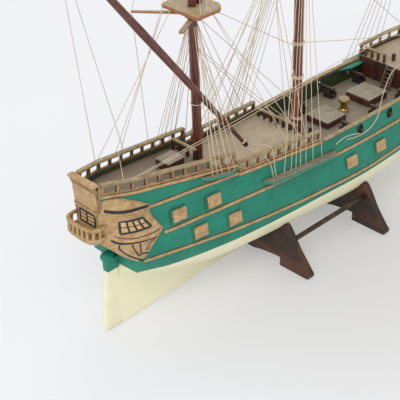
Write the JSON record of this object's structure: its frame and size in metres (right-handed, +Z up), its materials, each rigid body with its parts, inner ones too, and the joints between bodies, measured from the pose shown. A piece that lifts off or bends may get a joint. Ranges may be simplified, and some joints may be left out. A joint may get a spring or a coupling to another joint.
{
  "type": "model sailing ship",
  "caption": "Rigged wooden model ship with green topsides, cream bottom, open rails, stern balcony and lateen mizzen yard, resting on a walnut board cradle.",
  "frame": {"origin": "on the standing surface, under the middle of the whole model", "axes": "+X towards the bow, +Y to port, +Z up"},
  "size_m": [0.802, 0.224, 0.6023],
  "materials": {
    "hull_paint": "semi-gloss paint, cream below the waterline and green above",
    "green_paint": "semi-gloss green paint",
    "dark_green_paint": "dark green paint",
    "cream_paint": "semi-gloss cream paint",
    "tan_paint": "tan paint with a brown wash",
    "deck_wood": "planked, matt grey-tan",
    "dark_red_wood": "dark red-brown stain",
    "spar_wood": "dark red-brown varnish",
    "walnut": "dark walnut varnish",
    "brass": "satin",
    "black_metal": "satin black",
    "thread": "beige rigging thread"
  },
  "bodies": {
    "stand": {"cradle_board_aft": "walnut", "cradle_board_fore": "walnut", "stand_dowels": "walnut", "stand_pins": "brass"},
    "ship": {"balcony_floor": "tan_paint", "balcony_rail": "tan_paint", "bitts": "dark_red_wood", "bowsprit": "spar_wood", "bowsprit_cap": "spar_wood", "break_bulkheads": "dark_red_wood", "bulwarks": "green_paint", "capstan": "brass", "channels": "tan_paint", "counter_plate": "green_paint", "cross_rail_posts": "dark_red_wood", "deck_edge_strips": "tan_paint", "fore_mast": "spar_wood", "forecastle_ladder": "dark_red_wood", "gun_barrels": "black_metal", "gun_carriages": "dark_red_wood", "gunport_lids": "tan_paint", "hatch_coamings": "dark_red_wood", "hatch_planks": "deck_wood", "hull_lower": "hull_paint", "hull_stern_block": "green_paint", "hull_upper_aft": "green_paint", "hull_upper_fore": "green_paint", "jibboom": "spar_wood", "lateen_yard": "spar_wood", "lid_backings": "dark_green_paint", "lower_shrouds": "thread", "main_mast": "spar_wood", "mast_caps": "spar_wood", "mast_tops": "tan_paint", "mast_woldings": "thread", "mizzen_mast": "spar_wood", "outriggers": "spar_wood", "port_hole_cord": "thread", "quarter_galleries": "tan_paint", "rail_caps": "tan_paint", "rail_posts": "tan_paint", "rudder": "hull_paint", "running_lines": "thread", "square_yards": "spar_wood", "stays": "thread", "stem": "hull_paint", "sternpost": "cream_paint", "taffrail_cap": "tan_paint", "topgallant_poles": "spar_wood", "topmast_shrouds": "thread", "topmasts": "spar_wood", "transom": "tan_paint", "upper_decks": "deck_wood", "vangs": "thread", "waist_deck": "deck_wood", "waist_loose_cord": "thread", "wales": "tan_paint", "yard_tip_cord": "thread", "yard_tip_cord_short": "thread"}
  },
  "joints": [
    {"name": "lift_off", "type": "slide", "parent": "stand", "child": "ship", "axis": [0, 0, 1], "range_m": [0, 0.08]}
  ]
}
